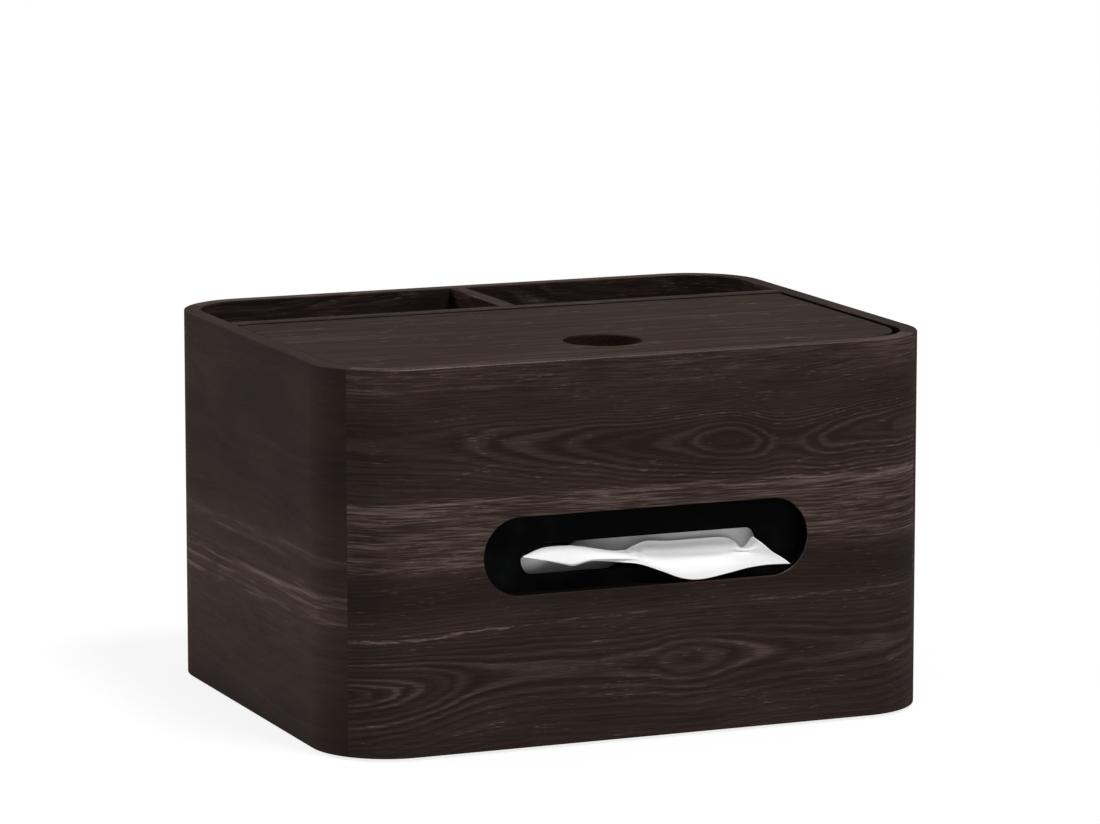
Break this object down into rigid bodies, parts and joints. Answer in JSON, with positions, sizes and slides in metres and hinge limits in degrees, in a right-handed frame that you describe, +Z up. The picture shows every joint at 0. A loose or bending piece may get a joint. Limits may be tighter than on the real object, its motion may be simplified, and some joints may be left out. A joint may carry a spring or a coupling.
{
  "type": "tissue box organiser",
  "caption": "Rounded wooden tissue box with a front tissue slot, a lift-off lid with a finger hole, and open pen and phone compartments behind it.",
  "frame": {"origin": "middle of the footprint, on the surface that the box stands on", "axes": "+X to the right along the slotted front, +Y from the slotted front to the back, +Z up"},
  "size_m": [0.22, 0.179, 0.131],
  "materials": {
    "dark_wood_veneer": "dark stained veneer with horizontal grain, satin lacquer",
    "dark_wood_lid": "dark stained veneer with fine straight grain, satin lacquer",
    "dark_wood_board": "dark stained veneer, satin lacquer",
    "dark_board": "dark stained board, matt",
    "black_plate": "black, fine satin",
    "screw_steel": "zinc plated",
    "pad_rubber": "matt black anti-slip rubber",
    "tissue_paper": "soft white paper tissue"
  },
  "bodies": {
    "box": {"shell": "dark_wood_veneer", "base_panel": "dark_board", "partition": "dark_wood_board", "divider": "dark_wood_board", "slot_plate": "black_plate", "lid_cleat_left": "dark_board", "lid_cleat_right": "dark_board", "lid_cleat_rear": "dark_board", "base_screws": "screw_steel", "slot_plate_screws": "screw_steel", "cleat_pins": "screw_steel", "foot_pad_front_left": "pad_rubber", "foot_pad_front_right": "pad_rubber", "foot_pad_rear_left": "pad_rubber", "foot_pad_rear_right": "pad_rubber", "tissue_stack": "tissue_paper", "pulled_tissue": "tissue_paper"},
    "lid": {"lid": "dark_wood_lid"}
  },
  "joints": [
    {"name": "lid_lift", "type": "slide", "parent": "box", "child": "lid", "axis": [0, 0, 1], "range_m": [0, 0.06]}
  ]
}
